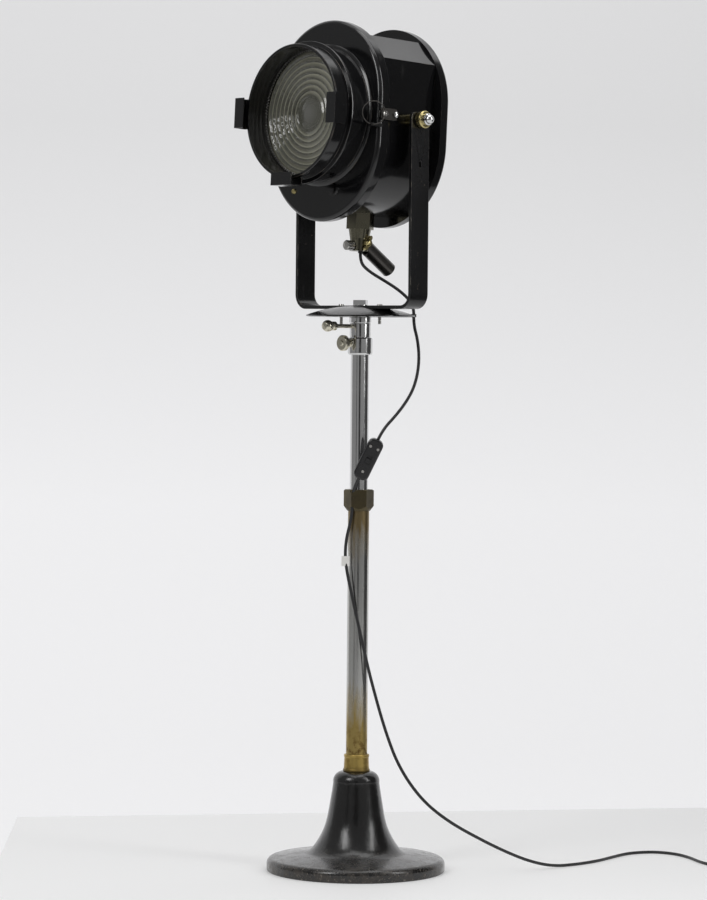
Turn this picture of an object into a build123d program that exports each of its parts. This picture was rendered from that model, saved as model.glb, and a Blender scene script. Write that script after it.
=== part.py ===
"""A vintage stage spotlight on a telescopic stand with a heavy round base.

Millimetres, +Z up. The origin is the centre of the base's underside, on the stand's axis, and the
lamp faces -Y. The lamp head is tipped back a little, so its pieces are placed on planes of its own.
"""

import os
from math import cos, pi, radians, sin, tan

from build123d import *

os.makedirs("parts", exist_ok=True)

# Clearances
fit = 0.05  # round pieces that slide or turn in each other
gap = 0.3  # faces of pieces that move past each other

# Base and stand
base_radius = 142.5
rim_height = 20.5
bell_radius = 42.0
foot_radius = 84.0
foot_height = 28.0
bell_height = 158.4
socket_floor = 8.0
lower_tube_radius = 17.0
upper_tube_radius = 14.7
upper_tube_wall = 1.5
lower_tube_top = 604.0
upper_tube_bottom = 250.0
ferrule_height = 27.5

# Clamp nut at the top of the lower tube
nut_bottom = 575.0
nut_height = 34.0
nut_radius = 24.1
nut_lip = 5.0
cord_hole_spot = (6.2, -19.6)

# Mast head, where the lamp plugs in
collar_bottom = 824.0
collar_height = 27.5
collar_radius = 19.9
spigot_radius = 11.0
sleeve_radius = 16.9
sleeve_height = 32.7
collar_screw_height = 843.0
swivel_screw_height = 870.0

# Saucer and yoke
saucer_radius = 87.2
saucer_height = 18.3
strap_width = 38.0
strap_thick = 5.5
strap_seat = 13.1
yoke_inside = 129.5
yoke_bend = 24.0
yoke_above_pivot = 12.0
strap_screw_spacing = 90.0

# Lamp head
tilt_height = 1195.0
head_tilt = 2.9
case_drop = 4.0
rim_radius = 127.0
rim_straight = 66.0
case_half_width = 109.0
case_top = 135.0
case_shoulder = 38.0
case_skin = 2.0
case_front = 65.2
case_back = 52.0
frame_thick = 4.7
bezel_depth = 17.0
cover_depth = 18.0
pressing = 3.0
pivot_radius = 5.0
spacer_radius = 9.5
knob_radius = 13.8

# Lens barrel
lens_rise = 4.0
barrel_radius = 107.0
barrel_hole = 101.5
barrel_front = 153.0
lens_seat = 106.0
lens_edge = 6.0
ridge_count = 8
ridge_height = 4.5
bull_eye_radius = 27.0
bull_eye_height = 5.5
clip_width = 48.0
clip_radius = 118.0
clip_ahead = 15.0
clip_behind = 9.0
clip_sheet = 1.8

# Door hinge and latch
hinge_pin_radius = 1.6
hinge_knuckle = 3.7
hinge_out = 4.0
hinge_length = 60.0
latch_forward = 76.0
latch_sheet = 3.0
latch_up = 2.0
boss_spot = (31.0, -115.0)

# Focus carriage
rail_radius = 3.0
rail_spacing = 80.0
rail_drop = 100.0
focus_screw_radius = 4.0
focus_screw_spot = (62.0, -111.0)
tray_drop = 94.0
tray_length = 40.0

# Cable inlet and handle under the head
socket_back = 6.0
socket_hex = 22.4
socket_radius = 15.0
socket_bottom = 205.0
handle_radius = 12.0
handle_length = 66.0
handle_slope = 35.0
cord_exit_back = 9.5
wing_screw_drop = 192.0
side_screw_drop = 197.0

# Cord and what is on it
cord_radius = 2.5
switch_foot = Vector(19.7, -18.4, 627.6)
switch_head = Vector(44.6, -0.6, 690.0)
switch_width = 25.0
switch_half = 9.0
switch_corner = 9.5
tie_spot = (35.2, 84.7)
tie_height = 888.0
coil_spot = (380.0, 508.0)
coil_inner = 22.0
coil_outer = 38.0
coil_height = 10.4
plug_length = 38.0
plug_spot = (415.3, 559.0)

head = Plane(
    origin=(0, 0, tilt_height),
    x_dir=(1, 0, 0),
    z_dir=(0, sin(radians(head_tilt)), cos(radians(head_tilt))),
)
beam = -head.y_dir
collar_top = collar_bottom + collar_height
sleeve_bottom = collar_top + gap
saucer_bottom = sleeve_bottom + sleeve_height
strap_bottom = saucer_bottom + strap_seat
strap_top = strap_bottom + strap_thick
nut_top = nut_bottom + nut_height
bezel_back = case_front + gap
clip_front = barrel_front + clip_ahead
clip_back = barrel_front - clip_behind
bezel_front = bezel_back + bezel_depth
cover_back = case_back + cover_depth
rim_height_overall = 2 * rim_radius + rim_straight


def at_head(right, back, up):
    """A point of the lamp head: right of the tilt axis's middle, behind it and above it."""
    return head.from_local_coords(Vector(right, back, up))


def facing(ahead):
    """The plane across the beam, this far ahead of the tilt axis: x is +X and y is the head's up."""
    return Plane(origin=at_head(0, -ahead, 0), x_dir=(1, 0, 0), z_dir=beam)


def turned(origin, along, across=(1, 0, 0)):
    """A plane for a turned profile: x is the radius, and y runs along the axis."""
    return Plane(origin=origin, x_dir=across, z_dir=Vector(*across).cross(Vector(*along)))


def spin(plane):
    """The axis that a turned profile goes round."""
    return Axis(plane.origin, plane.y_dir)


def beam_profile(angle=0.0):
    """The plane of a profile turned about the lens's axis, with its radius at an angle from +X."""
    across = head.x_dir * cos(radians(angle)) + head.z_dir * sin(radians(angle))
    return turned(at_head(0, 0, lens_rise), tuple(beam), tuple(across))


def rim_outline(inset=0.0):
    """The upright racetrack of the head's front and rear rims, in the sketch that calls it."""
    with Locations((0, -case_drop)):
        SlotOverall(rim_height_overall - 2 * inset, 2 * (rim_radius - inset), rotation=90)


def case_outline(inset=0.0):
    """The head's section: flat top with two shoulders, straight sides and a round bottom."""
    side = case_half_width - inset
    top = case_top - case_drop - inset
    cut = inset * tan(radians(22.5))
    shoulder = case_half_width - case_shoulder - cut
    shoulder_low = case_top - case_drop - case_shoulder - cut
    low = -case_drop - rim_straight / 2
    with BuildLine() as outline:
        Polyline(
            (side, low),
            (side, shoulder_low),
            (shoulder, top),
            (-shoulder, top),
            (-side, shoulder_low),
            (-side, low),
        )
        ThreePointArc((-side, low), (0, low - side), (side, low))
    make_face(outline.edges())


# ---------------------------------------------------------------- base and lower tube

with BuildPart() as cast_base:
    with BuildSketch(Plane.XZ):
        with BuildLine():
            bore = lower_tube_radius + fit
            neck = bell_radius - 5
            Spline(
                (neck, bell_height - 18),
                (bell_radius, bell_height / 2 + 29),
                (bell_radius + 9, bell_height / 2 - 11),
                (bell_radius + 20, rim_height + 26),
                (foot_radius, foot_height),
                tangents=((0.12, -1), (1, -0.16)),
            )
            Line((foot_radius, foot_height), (base_radius - 8.5, rim_height))
            ThreePointArc(
                (base_radius - 8.5, rim_height),
                (base_radius - 2.5, rim_height - 2.9),
                (base_radius, rim_height - 9),
            )
            Polyline(
                (base_radius, rim_height - 9),
                (base_radius, 1.5),
                (base_radius - 1.5, 0),
                (0, 0),
                (0, socket_floor),
                (bore, socket_floor),
                (bore, bell_height),
                (neck - 14, bell_height),
            )
            ThreePointArc(
                (neck - 14, bell_height),
                (neck - 3.2, bell_height - 6),
                (neck, bell_height - 18),
            )
        make_face()
    revolve(axis=Axis.Z)
cast_base.part.label = "cast_base"
export_step(cast_base.part, "parts/cast_base.step")

with BuildPart() as lower_tube:
    with BuildSketch(Plane.XY.offset(socket_floor)):
        Circle(lower_tube_radius)
        Circle(upper_tube_radius + fit, mode=Mode.SUBTRACT)
    extrude(amount=lower_tube_top - socket_floor)
lower_tube.part.label = "lower_tube"
export_step(lower_tube.part, "parts/lower_tube.step")

with BuildPart() as ferrule:
    with BuildSketch(Plane.XZ):
        with BuildLine():
            inner = lower_tube_radius + fit
            low = bell_height
            high = bell_height + ferrule_height
            Polyline(
                (inner, high),
                (inner, low),
                (inner + 4.4, low),
                (inner + 4.4, low + 3),
                (inner + 3.3, low + 4.5),
                (inner + 2.4, high - 5),
                (inner + 3.2, high - 4),
                (inner + 3.2, high - 1),
                (inner + 2, high),
                close=True,
            )
        make_face()
    revolve(axis=Axis.Z)
ferrule.part.label = "ferrule"
export_step(ferrule.part, "parts/ferrule.step")

# ---------------------------------------------------------------- clamp nut

cord_hole_turn = Vector(1, 0, 0).get_signed_angle(Vector(*cord_hole_spot, 0), Vector(0, 0, 1))

with BuildPart() as clamp_nut:
    with BuildSketch(Plane.XY.offset(nut_bottom)):
        RegularPolygon(radius=nut_radius, side_count=6, rotation=cord_hole_turn)
    extrude(amount=nut_height)
    with BuildSketch(Plane.XZ):
        with BuildLine():
            Polyline(
                (0, nut_bottom),
                (lower_tube_radius + 1.4, nut_bottom),
                (nut_radius + 0.5, nut_bottom + 8.5),
                (nut_radius + 0.5, nut_top - 2.2),
                (nut_radius - 2.2, nut_top),
                (0, nut_top),
                close=True,
            )
        make_face()
    revolve(axis=Axis.Z, mode=Mode.INTERSECT)
    with BuildSketch(Plane.XY.offset(nut_bottom)):
        Circle(lower_tube_radius + fit)
    extrude(amount=nut_height - nut_lip, mode=Mode.SUBTRACT)
    with BuildSketch(Plane.XY.offset(nut_bottom)):
        Circle(upper_tube_radius + gap)
    extrude(amount=nut_height, mode=Mode.SUBTRACT)
    with BuildSketch(Plane.XY.offset(nut_bottom)):
        with Locations(cord_hole_spot):
            Circle(cord_radius + 0.5)
    extrude(amount=nut_height, mode=Mode.SUBTRACT)
    with BuildSketch(Plane.XY.offset(nut_top)):
        with Locations(cord_hole_spot):
            Circle(cord_radius + 2)
    extrude(amount=-5, taper=17, mode=Mode.SUBTRACT)
clamp_nut.part.label = "clamp_nut"
export_step(clamp_nut.part, "parts/clamp_nut.step")

# ---------------------------------------------------------------- mast

with BuildPart() as upper_tube:
    with BuildSketch(Plane.XY.offset(upper_tube_bottom)):
        Circle(upper_tube_radius)
        Circle(upper_tube_radius - upper_tube_wall, mode=Mode.SUBTRACT)
    extrude(amount=collar_top - 3.5 - upper_tube_bottom)
upper_tube.part.label = "upper_tube"
export_step(upper_tube.part, "parts/upper_tube.step")

with BuildPart() as mast_collar:
    with BuildSketch(Plane.XZ):
        with BuildLine():
            tube_bore = upper_tube_radius + fit
            plug_radius = upper_tube_radius - upper_tube_wall - fit
            Polyline(
                (0, collar_bottom - 24),
                (plug_radius, collar_bottom - 24),
                (plug_radius, collar_top - 3.5),
                (tube_bore, collar_top - 3.5),
                (tube_bore, collar_bottom),
                (collar_radius - 3.5, collar_bottom),
                (collar_radius - 1, collar_bottom + 1),
                (collar_radius, collar_bottom + 3.5),
                (collar_radius, collar_top - 1.5),
                (collar_radius - 1.5, collar_top),
                (spigot_radius, collar_top),
                (spigot_radius, collar_top + 25),
                (spigot_radius - 2, collar_top + 27),
                (0, collar_top + 27),
                close=True,
            )
        make_face()
    revolve(axis=Axis.Z)
    with BuildSketch(Plane.XZ.offset(upper_tube_radius)):
        with Locations((0, collar_screw_height)):
            Circle(3 + fit)
    extrude(amount=collar_radius, mode=Mode.SUBTRACT)
mast_collar.part.label = "mast_collar"
export_step(mast_collar.part, "parts/mast_collar.step")

collar_screw_plane = turned((0, 0, collar_screw_height), (0, -1, 0))
with BuildPart() as collar_screw:
    with BuildSketch(collar_screw_plane):
        with BuildLine():
            seat = collar_radius + 0.5
            Polyline(
                (0, upper_tube_radius + 0.35),
                (3, upper_tube_radius + 0.35),
                (3, seat),
                (6.5, seat),
                (6.5, seat + 3),
                (5, seat + 4),
                (5, seat + 12.5),
                (11, seat + 12.5),
                (12.6, seat + 14),
                (12.6, seat + 19),
                (11, seat + 20.5),
                (5, seat + 20.5),
                (4, seat + 22.5),
                (0, seat + 22.5),
                close=True,
            )
        make_face()
    revolve(axis=spin(collar_screw_plane))
collar_screw.part.label = "collar_screw"
export_step(collar_screw.part, "parts/collar_screw.step")

# ---------------------------------------------------------------- swivel under the yoke

with BuildPart() as swivel_sleeve:
    with BuildSketch(Plane.XZ):
        with BuildLine():
            bore = spigot_radius + fit
            Polyline(
                (0, saucer_bottom),
                (sleeve_radius + 0.7, saucer_bottom),
                (sleeve_radius + 0.7, saucer_bottom - 8.5),
                (sleeve_radius - 0.6, saucer_bottom - 9),
                (sleeve_radius - 0.6, saucer_bottom - 10.2),
                (sleeve_radius, saucer_bottom - 10.7),
                (sleeve_radius, sleeve_bottom + 1),
                (sleeve_radius - 1, sleeve_bottom),
                (bore, sleeve_bottom),
                (bore, saucer_bottom - 4.5),
                (0, saucer_bottom - 4.5),
                close=True,
            )
        make_face()
    revolve(axis=Axis.Z)
    with BuildSketch(Plane.XY.offset(saucer_bottom)):
        Circle(6 + fit)
    extrude(amount=-6, mode=Mode.SUBTRACT)
    with BuildSketch(Plane.XZ.offset(-2)):
        with Locations((0, swivel_screw_height)):
            Circle(3.2 + fit)
    extrude(amount=sleeve_radius + 5, mode=Mode.SUBTRACT)
swivel_sleeve.part.label = "swivel_sleeve"
export_step(swivel_sleeve.part, "parts/swivel_sleeve.step")

swivel_screw_plane = turned((0, 0, swivel_screw_height), (0, -1, 0))
with BuildPart() as swivel_screw:
    with BuildSketch(swivel_screw_plane):
        with BuildLine():
            Polyline(
                (0, spigot_radius + 0.35),
                (3.2, spigot_radius + 0.35),
                (3.2, 54),
                (7.2, 55.5),
                (7.2, 60.5),
                (5, 62.5),
                (6.5, 63.5),
            )
            ThreePointArc((6.5, 63.5), (9.4, 71), (6, 78))
            Polyline((6, 78), (0, 79), (0, spigot_radius + 0.35))
        make_face()
    revolve(axis=spin(swivel_screw_plane))
swivel_screw.part.label = "swivel_screw"
export_step(swivel_screw.part, "parts/swivel_screw.step")

with BuildPart() as saucer:
    with BuildSketch(Plane.XZ):
        with BuildLine():
            crown = saucer_bottom + saucer_height
            Polyline(
                (0, crown),
                (0, saucer_bottom),
                (saucer_radius - 6, saucer_bottom),
                (saucer_radius, saucer_bottom + 1.2),
                (saucer_radius, saucer_bottom + 3.2),
            )
            ThreePointArc(
                (saucer_radius, saucer_bottom + 3.2),
                (saucer_radius * 0.55, saucer_bottom + 3.2 + 0.72 * (saucer_height - 3.2)),
                (0, crown),
            )
        make_face()
    revolve(axis=Axis.Z)
    with BuildSketch(Plane.XY.offset(strap_bottom)):
        Rectangle(2.2 * saucer_radius, strap_width + 2 * fit)
    extrude(amount=saucer_height, mode=Mode.SUBTRACT)
    with BuildSketch(Plane.XY.offset(saucer_bottom)):
        Circle(6 + fit)
        with GridLocations(strap_screw_spacing, 1, 2, 1):
            Circle(2.5 + fit)
    extrude(amount=saucer_height, mode=Mode.SUBTRACT)
saucer.part.label = "saucer"
export_step(saucer.part, "parts/saucer.step")

with BuildPart() as yoke:
    yoke_top = tilt_height + yoke_above_pivot
    yoke_outside = yoke_inside + strap_thick
    yoke_middle = (strap_bottom + yoke_top) / 2
    with BuildSketch(Plane.XZ):
        with Locations((0, yoke_middle)):
            Rectangle(2 * yoke_outside, yoke_top - strap_bottom)
        fillet(vertices().group_by(Axis.Y)[0], yoke_bend)
    extrude(amount=strap_width / 2, both=True)
    with BuildSketch(Plane.XZ):
        with Locations((0, (strap_top + yoke_top + 50) / 2)):
            Rectangle(2 * yoke_inside, yoke_top + 50 - strap_top)
        fillet(vertices().group_by(Axis.Y)[0], yoke_bend - strap_thick)
    extrude(amount=strap_width, both=True, mode=Mode.SUBTRACT)
    fillet(edges().filter_by(Axis.X).group_by(Axis.Z)[-1], 9)
    with BuildSketch(Plane.YZ):
        with Locations((0, tilt_height)):
            Circle(pivot_radius + fit)
        with Locations((0, tilt_height - 70)):
            SlotOverall(11, 4.5, rotation=90)
    extrude(amount=yoke_outside + 10, both=True, mode=Mode.SUBTRACT)
    with BuildSketch(Plane.XY.offset(strap_bottom - 1)):
        Circle(6 + fit)
        with GridLocations(strap_screw_spacing, 1, 2, 1):
            Circle(2.5 + fit)
    extrude(amount=strap_thick + 2, mode=Mode.SUBTRACT)
yoke.part.label = "yoke"
export_step(yoke.part, "parts/yoke.step")

with BuildPart() as yoke_bolt:
    with BuildSketch(Plane.XY.offset(strap_top)):
        Circle(12.2)
    extrude(amount=1.2)
    with BuildSketch(Plane.XY.offset(strap_top + 1.2)):
        RegularPolygon(radius=12, side_count=6)
    extrude(amount=7.6)
    with BuildSketch(Plane.XY.offset(saucer_bottom - 3)):
        Circle(6)
    extrude(amount=strap_top - saucer_bottom + 3)
yoke_bolt.part.label = "yoke_bolt"
export_step(yoke_bolt.part, "parts/yoke_bolt.step")

with BuildPart() as strap_screws:
    with BuildSketch(Plane.XY.offset(saucer_bottom - 11)):
        with GridLocations(strap_screw_spacing, 1, 2, 1):
            Circle(2.5)
    extrude(amount=strap_top - saucer_bottom + 11)
    with BuildSketch(Plane.XY.offset(strap_top)):
        with GridLocations(strap_screw_spacing, 1, 2, 1):
            Circle(4.6)
    extrude(amount=2.4, taper=15)
strap_screws.part.label = "strap_screws"
export_step(strap_screws.part, "parts/strap_screws.step")

with BuildPart() as cord_tie:
    with BuildSketch(Plane.XY.offset(tie_height - 2.5)):
        with Locations(tie_spot):
            Circle(cord_radius + 1.7)
            Circle(cord_radius + fit, mode=Mode.SUBTRACT)
    extrude(amount=5)
cord_tie.part.label = "cord_tie"
export_step(cord_tie.part, "parts/cord_tie.step")

# ---------------------------------------------------------------- case of the lamp head

with BuildPart() as body_shell:
    with BuildSketch(facing(-case_back)):
        case_outline()
    extrude(amount=case_back + case_front - frame_thick)
    with BuildSketch(facing(-case_back - 1)):
        case_outline(case_skin)
    extrude(amount=case_back + case_front + 2, mode=Mode.SUBTRACT)
    with BuildSketch(Plane.YZ):
        with Locations((0, tilt_height)):
            Circle(pivot_radius + fit)
    extrude(amount=case_half_width + 5, both=True, mode=Mode.SUBTRACT)
    with BuildSketch(Plane(at_head(0, cord_exit_back, -120), x_dir=(1, 0, 0), z_dir=-head.z_dir)):
        Circle(6)
    extrude(amount=60, mode=Mode.SUBTRACT)
body_shell.part.label = "body_shell"
export_step(body_shell.part, "parts/body_shell.step")

with BuildPart() as front_frame:
    with BuildSketch(facing(case_front - frame_thick)):
        rim_outline(1)
    extrude(amount=frame_thick)
    with BuildSketch(facing(case_front - frame_thick - 1)):
        case_outline(case_skin)
    extrude(amount=frame_thick + 2, mode=Mode.SUBTRACT)
front_frame.part.label = "front_frame"
export_step(front_frame.part, "parts/front_frame.step")

with BuildPart() as rear_cover:
    with BuildSketch(facing(-cover_back)):
        rim_outline()
    extrude(amount=cover_depth)
    rear_edge = faces().sort_by(Axis(at_head(0, 0, 0), beam))[0].edges()
    fillet(rear_edge, 6)
    with BuildSketch(facing(-cover_back + pressing)):
        rim_outline(pressing)
    extrude(amount=cover_depth - 2 * pressing, mode=Mode.SUBTRACT)
    with BuildSketch(facing(-case_back - pressing)):
        case_outline(case_skin)
    extrude(amount=pressing + 1, mode=Mode.SUBTRACT)
    with BuildSketch(facing(-cover_back - 1)):
        with Locations((0, 60)):
            with GridLocations(1, 16, 1, 5):
                SlotOverall(120, 7)
        with Locations(focus_screw_spot):
            Circle(focus_screw_radius + fit)
        with Locations((0, -case_drop)):
            with GridLocations(170, 200, 2, 2):
                Circle(2 + fit)
    extrude(amount=pressing + 2, mode=Mode.SUBTRACT)
rear_cover.part.label = "rear_cover"
export_step(rear_cover.part, "parts/rear_cover.step")

with BuildPart() as rear_screws:
    with BuildSketch(facing(-cover_back)):
        with Locations((0, -case_drop)):
            with GridLocations(170, 200, 2, 2):
                Circle(2)
    extrude(amount=pressing + 3)
    with BuildSketch(facing(-cover_back)):
        with Locations((0, -case_drop)):
            with GridLocations(170, 200, 2, 2):
                Circle(4)
    extrude(amount=-2.4, taper=15)
rear_screws.part.label = "rear_screws"
export_step(rear_screws.part, "parts/rear_screws.step")

with BuildPart() as focus_rails:
    with BuildSketch(facing(-cover_back + pressing)):
        with Locations((0, -rail_drop)):
            with GridLocations(rail_spacing, 1, 2, 1):
                Circle(rail_radius)
    extrude(amount=cover_back + case_front - 8)
focus_rails.part.label = "focus_rails"
export_step(focus_rails.part, "parts/focus_rails.step")

# ---------------------------------------------------------------- tilt pivots

with BuildPart() as tilt_spacers:
    for side in (1, -1):
        with BuildSketch(Plane.YZ.offset(side * case_half_width)):
            with Locations((0, tilt_height)):
                Circle(spacer_radius)
                Circle(pivot_radius + fit, mode=Mode.SUBTRACT)
        extrude(amount=side * (yoke_inside - gap - case_half_width))
tilt_spacers.part.label = "tilt_spacers"
export_step(tilt_spacers.part, "parts/tilt_spacers.step")

knob_start = yoke_inside + strap_thick + gap
knob_length = 12.0
acorn_start = knob_start + knob_length + gap
acorn_length = 14.5
bolt_end = acorn_start + 8

with BuildPart() as tilt_bolts:
    for side in (1, -1):
        with BuildSketch(Plane.YZ.offset(side * (case_half_width - case_skin))):
            with Locations((0, tilt_height)):
                Circle(pivot_radius)
        extrude(amount=side * (bolt_end - case_half_width + case_skin))
        with BuildSketch(Plane.YZ.offset(side * (case_half_width - case_skin))):
            with Locations((0, tilt_height)):
                RegularPolygon(radius=9.5, side_count=6)
        extrude(amount=-side * 7)
tilt_bolts.part.label = "tilt_bolts"
export_step(tilt_bolts.part, "parts/tilt_bolts.step")


def tilt_knob_profile():
    """Half the section of a tilt knob: radius across, distance along its bolt up."""
    with BuildLine() as outline:
        Polyline(
            (pivot_radius + fit, knob_start),
            (knob_radius - 4.5, knob_start),
            (knob_radius - 3.6, knob_start + 2),
            (knob_radius - 0.8, knob_start + 2.8),
            (knob_radius, knob_start + 4),
            (knob_radius, acorn_start - gap - 1.6),
            (knob_radius - 1.6, acorn_start - gap),
            (pivot_radius + fit, acorn_start - gap),
            close=True,
        )
    make_face(outline.edges())


right_pivot = turned((0, 0, tilt_height), (1, 0, 0), (0, 1, 0))
left_pivot = turned((0, 0, tilt_height), (-1, 0, 0), (0, 1, 0))

with BuildPart() as tilt_knob_right:
    with BuildSketch(right_pivot):
        tilt_knob_profile()
    revolve(axis=spin(right_pivot))
tilt_knob_right.part.label = "tilt_knob_right"
export_step(tilt_knob_right.part, "parts/tilt_knob_right.step")

with BuildPart() as tilt_knob_left:
    with BuildSketch(left_pivot):
        tilt_knob_profile()
    revolve(axis=spin(left_pivot))
tilt_knob_left.part.label = "tilt_knob_left"
export_step(tilt_knob_left.part, "parts/tilt_knob_left.step")

with BuildPart() as acorn_nuts:
    for pivot in (right_pivot, left_pivot):
        with BuildSketch(pivot):
            with BuildLine():
                Polyline(
                    (1, acorn_start + acorn_length),
                    (0, acorn_start + acorn_length),
                    (0, bolt_end),
                    (pivot_radius + fit, bolt_end),
                    (pivot_radius + fit, acorn_start),
                    (9.4, acorn_start),
                    (9.4, acorn_start + 5),
                    (7.6, acorn_start + 6.5),
                )
                ThreePointArc(
                    (7.6, acorn_start + 6.5),
                    (6, acorn_start + acorn_length - 3),
                    (1, acorn_start + acorn_length),
                )
            make_face()
        revolve(axis=spin(pivot))
acorn_nuts.part.label = "acorn_nuts"
export_step(acorn_nuts.part, "parts/acorn_nuts.step")

# ---------------------------------------------------------------- lens door

with BuildPart() as door_bezel:
    with BuildSketch(facing(bezel_back)):
        rim_outline()
    extrude(amount=bezel_depth)
    front_edge = faces().sort_by(Axis(at_head(0, 0, 0), beam))[-1].edges()
    fillet(front_edge, 7)
    with BuildSketch(facing(bezel_back)):
        rim_outline(pressing)
    extrude(amount=bezel_depth - pressing, mode=Mode.SUBTRACT)
    with BuildSketch(facing(bezel_back)):
        with Locations((0, lens_rise)):
            Circle(barrel_hole - 2)
    extrude(amount=bezel_depth + 1, mode=Mode.SUBTRACT)
    with BuildSketch(Plane(at_head(rim_radius - 8, -latch_forward, latch_up), x_dir=-beam, z_dir=(1, 0, 0))):
        Circle(2.5)
    extrude(amount=10, mode=Mode.SUBTRACT)
    with BuildSketch(facing(bezel_front)):
        with Locations(boss_spot):
            Circle(10)
    extrude(amount=3.5, taper=20)
    with BuildSketch(facing(bezel_front + 3.5)):
        with Locations(boss_spot):
            Circle(6)
    extrude(amount=2.5)
door_bezel.part.label = "door_bezel"
export_step(door_bezel.part, "parts/door_bezel.step")

with BuildPart() as lens_barrel:
    profile = beam_profile()
    with BuildSketch(profile):
        with BuildLine():
            bead = barrel_front - 30
            Polyline(
                (barrel_hole, barrel_front),
                (barrel_hole, lens_seat),
                (barrel_hole - 6, lens_seat),
                (barrel_hole - 6, lens_seat - 3),
                (barrel_hole - 2, lens_seat - 3),
                (barrel_hole - 2, bezel_front),
                (barrel_radius + 6, bezel_front),
                (barrel_radius + 6, bezel_front + 2.6),
                (barrel_radius + 2.4, bezel_front + 5),
                (barrel_radius, bezel_front + 5.4),
                (barrel_radius, bead - 2),
                (barrel_radius + 6, bead - 1),
                (barrel_radius + 6.5, bead + 1.5),
                (barrel_radius + 6, bead + 4),
                (barrel_radius - 0.5, bead + 5),
                (barrel_radius - 0.5, barrel_front - 1),
                (barrel_radius - 1.5, barrel_front),
                close=True,
            )
        make_face()
    revolve(axis=spin(profile))
lens_barrel.part.label = "lens_barrel"
export_step(lens_barrel.part, "parts/lens_barrel.step")

lens_radius = barrel_hole - gap
ridge_step = (lens_radius - bull_eye_radius) / ridge_count
ridge_base = lens_seat + lens_edge

with BuildPart() as lens:
    with BuildSketch(profile):
        with BuildLine():
            teeth = [(bull_eye_radius, ridge_base + 1.5)]
            for ridge in range(ridge_count):
                teeth.append((bull_eye_radius + ridge * ridge_step + 0.4, ridge_base + ridge_height))
                teeth.append((bull_eye_radius + (ridge + 1) * ridge_step, ridge_base))
            ThreePointArc(
                (0, ridge_base + bull_eye_height),
                (bull_eye_radius / 2, ridge_base + 0.82 * bull_eye_height),
                (bull_eye_radius, ridge_base + 1.5),
            )
            Polyline(*teeth, (lens_radius, lens_seat), (0, lens_seat), (0, ridge_base + bull_eye_height))
        make_face()
    revolve(axis=spin(profile))
lens.part.label = "lens"
export_step(lens.part, "parts/lens.step")

with BuildPart() as lens_spring:
    with BuildSketch(profile):
        with Locations((barrel_hole - 2.4, ridge_base + 5)):
            Circle(2.3)
    revolve(axis=spin(profile))
lens_spring.part.label = "lens_spring"
export_step(lens_spring.part, "parts/lens_spring.step")

with BuildPart() as frame_clips:
    for angle in (0, 180, 270):
        clip_plane = beam_profile(angle)
        with BuildSketch(clip_plane):
            with BuildLine():
                inside = clip_radius - clip_sheet
                Polyline(
                    (barrel_radius - 2, clip_back),
                    (clip_radius, clip_back),
                    (clip_radius, clip_front),
                    (clip_radius - 20.5, clip_front),
                    (clip_radius - 20.5, clip_front - clip_sheet),
                    (inside, clip_front - clip_sheet),
                    (inside, clip_back + clip_sheet),
                    (barrel_radius - 2, clip_back + clip_sheet),
                    close=True,
                )
            make_face()
        extrude(amount=clip_width / 2, both=True)
    with BuildSketch(facing(bezel_front)):
        with Locations((0, lens_rise)):
            Circle(barrel_radius - 0.5)
    extrude(amount=barrel_front - bezel_front, mode=Mode.SUBTRACT)
frame_clips.part.label = "frame_clips"
export_step(frame_clips.part, "parts/frame_clips.step")

with BuildPart() as bezel_screw:
    with BuildSketch(facing(bezel_front)):
        with Locations((-62.5, -115)):
            Circle(4.5)
    extrude(amount=2.6, taper=18)
bezel_screw.part.label = "bezel_screw"
export_step(bezel_screw.part, "parts/bezel_screw.step")

hinge_x = -(rim_radius + hinge_out)
hinge_ahead = case_front + gap / 2
third = hinge_length / 3


def hinge_barrel(low, length):
    """A length of the hinge's knuckle, above or below the middle of the door's straight side."""
    with BuildSketch(head.offset(low - case_drop)) as knuckle:
        with Locations((hinge_x, -hinge_ahead)):
            Circle(hinge_knuckle)
    extrude(knuckle.sketch, amount=length)


with BuildPart() as hinge_body_leaf:
    for low in (-hinge_length / 2, third / 2 + gap):
        hinge_barrel(low, third - gap)
        with BuildSketch(head.offset(low - case_drop)):
            with Locations((hinge_x + hinge_out / 2 + 0.5, -hinge_ahead + 2.5)):
                Rectangle(hinge_out + 1, 4.4)
        extrude(amount=third - gap)
    with BuildSketch(head.offset(-hinge_length)):
        with Locations((hinge_x, -hinge_ahead)):
            Circle(hinge_pin_radius + fit)
    extrude(amount=2 * hinge_length, mode=Mode.SUBTRACT)
hinge_body_leaf.part.label = "hinge_body_leaf"
export_step(hinge_body_leaf.part, "parts/hinge_body_leaf.step")

with BuildPart() as hinge_door_leaf:
    hinge_barrel(-third / 2, third)
    with BuildSketch(head.offset(-third / 2 - case_drop)):
        with Locations((hinge_x + hinge_out / 2 + 1, -hinge_ahead - 8)):
            Rectangle(2, 14)
        with Locations((hinge_x + hinge_out / 2, -hinge_ahead - 2)):
            Rectangle(hinge_out, 2)
    extrude(amount=third)
    with BuildSketch(head.offset(-hinge_length)):
        with Locations((hinge_x, -hinge_ahead)):
            Circle(hinge_pin_radius + fit)
    extrude(amount=2 * hinge_length, mode=Mode.SUBTRACT)
hinge_door_leaf.part.label = "hinge_door_leaf"
export_step(hinge_door_leaf.part, "parts/hinge_door_leaf.step")

with BuildPart() as hinge_pin:
    with BuildSketch(head.offset(-hinge_length / 2 - case_drop - 1)):
        with Locations((hinge_x, -hinge_ahead)):
            Circle(hinge_pin_radius)
    extrude(amount=hinge_length + 2)
hinge_pin.part.label = "hinge_pin"
export_step(hinge_pin.part, "parts/hinge_pin.step")

# ---------------------------------------------------------------- door latch

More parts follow.
